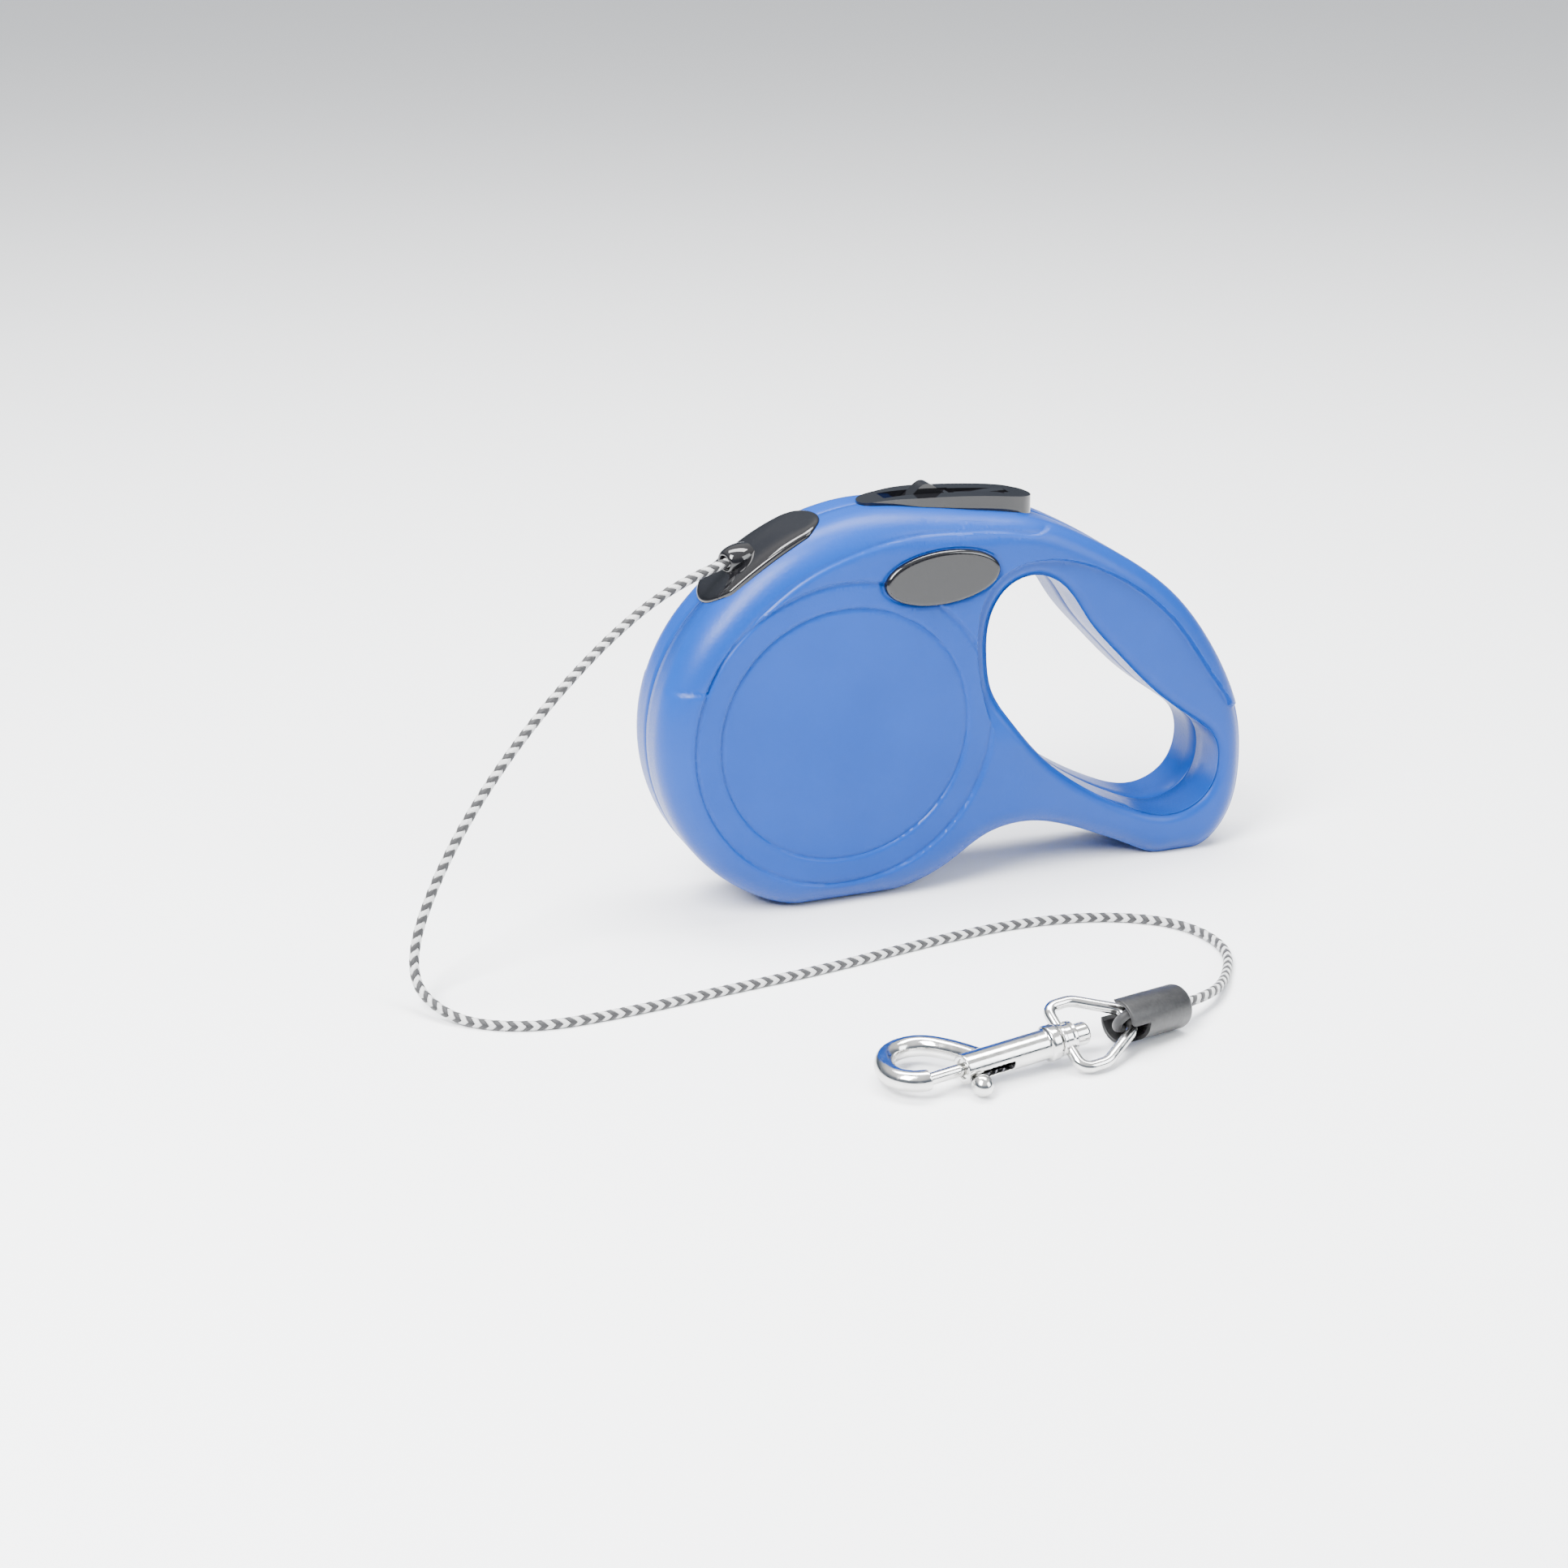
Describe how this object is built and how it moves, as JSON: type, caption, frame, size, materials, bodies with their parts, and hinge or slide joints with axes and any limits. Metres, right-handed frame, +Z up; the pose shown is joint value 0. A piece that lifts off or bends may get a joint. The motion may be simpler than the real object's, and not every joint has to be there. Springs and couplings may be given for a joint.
{
  "type": "retractable leash",
  "caption": "Retractable cord dog leash: oval-handled casing with a sprung reel, brake key and lock, and a cord ending in a sleeve and swivel bolt snap.",
  "frame": {"origin": "on the floor, under the middle of the casing", "axes": "+Z up, +X from the reel towards the handle, -Y towards the side with the plain badge that faces the viewer"},
  "size_m": [0.2106, 0.129, 0.0957],
  "materials": {
    "casing_blue": "fine spark-eroded texture",
    "gloss_black": "polished",
    "steel": "plain",
    "spring_steel": "oiled",
    "inner_plastic": "moulded acetal",
    "cord": "herringbone braid",
    "rubber_black": "satin",
    "nickel": "nickel plated"
  },
  "bodies": {
    "casing": {"front_shell": "casing_blue", "rear_shell": "casing_blue", "nozzle_plate": "gloss_black", "cord_eyelet": "gloss_black", "front_badge": "gloss_black", "rear_badge": "gloss_black", "casing_screws": "steel", "axle_pin": "steel", "thrust_washer": "steel", "spring_arbor": "inner_plastic", "mainspring": "spring_steel", "key_pin": "steel", "key_spring": "spring_steel", "free_cord": "cord", "end_sleeve": "rubber_black", "cord_loop": "cord", "cord_crimp": "steel"},
    "reel": {"reel_drum": "inner_plastic", "spring_cup": "inner_plastic", "spring_lid": "inner_plastic", "wound_cord": "cord"},
    "brake_key": {"brake_key": "gloss_black"},
    "lock_slider": {"lock_slider": "gloss_black"},
    "brake_pawl": {"brake_pawl": "inner_plastic"},
    "swivel_ring": {"swivel_ring": "nickel"},
    "hook": {"hook_body": "nickel", "swivel_stud": "nickel", "bolt_spring": "spring_steel"},
    "bolt": {"hook_bolt": "nickel", "bolt_knob": "nickel"}
  },
  "joints": [
    {"name": "reel_spin", "type": "hinge", "parent": "casing", "child": "reel", "pos_m": [-0.03025, 0, 0.042], "axis": [0, 1, 0], "continuous": true, "deforming": ["mainspring"]},
    {"name": "key_press", "type": "hinge", "parent": "casing", "child": "brake_key", "pos_m": [-0.01965, 0, 0.0884], "axis": [0, 1, 0], "range_deg": [0, 4.2], "stiffness_Nm_per_rad": 1, "springref_deg": -2.86, "deforming": ["key_spring"]},
    {"name": "pawl_slide", "type": "slide", "parent": "casing", "child": "brake_pawl", "axis": [-0.7071, 0, -0.7071], "range_m": [0, 0.00301]},
    {"name": "lock_slide", "type": "slide", "parent": "brake_key", "child": "lock_slider", "axis": [-1, 0, 0], "range_m": [0, 0.0032]},
    {"name": "ring_swing", "type": "hinge", "parent": "casing", "child": "swivel_ring", "pos_m": [-0.00285, -0.10148, 0.00641], "axis": [-0.139, 0.8552, 0.4993], "range_deg": [0, 12]},
    {"name": "hook_swivel", "type": "hinge", "parent": "swivel_ring", "child": "hook", "pos_m": [-0.0182, -0.1035, 0.0056], "axis": [0.9901, 0.1303, 0.0523], "continuous": true},
    {"name": "bolt_slide", "type": "slide", "parent": "hook", "child": "bolt", "axis": [0.9901, 0.1303, 0.0523], "range_m": [0, 0.008], "stiffness_N_per_m": 300, "springref_m": -0.004, "deforming": ["bolt_spring"]}
  ],
  "couplings": [
    {"joint": "pawl_slide", "follows": "key_press", "m_per_rad": 0.04093}
  ]
}
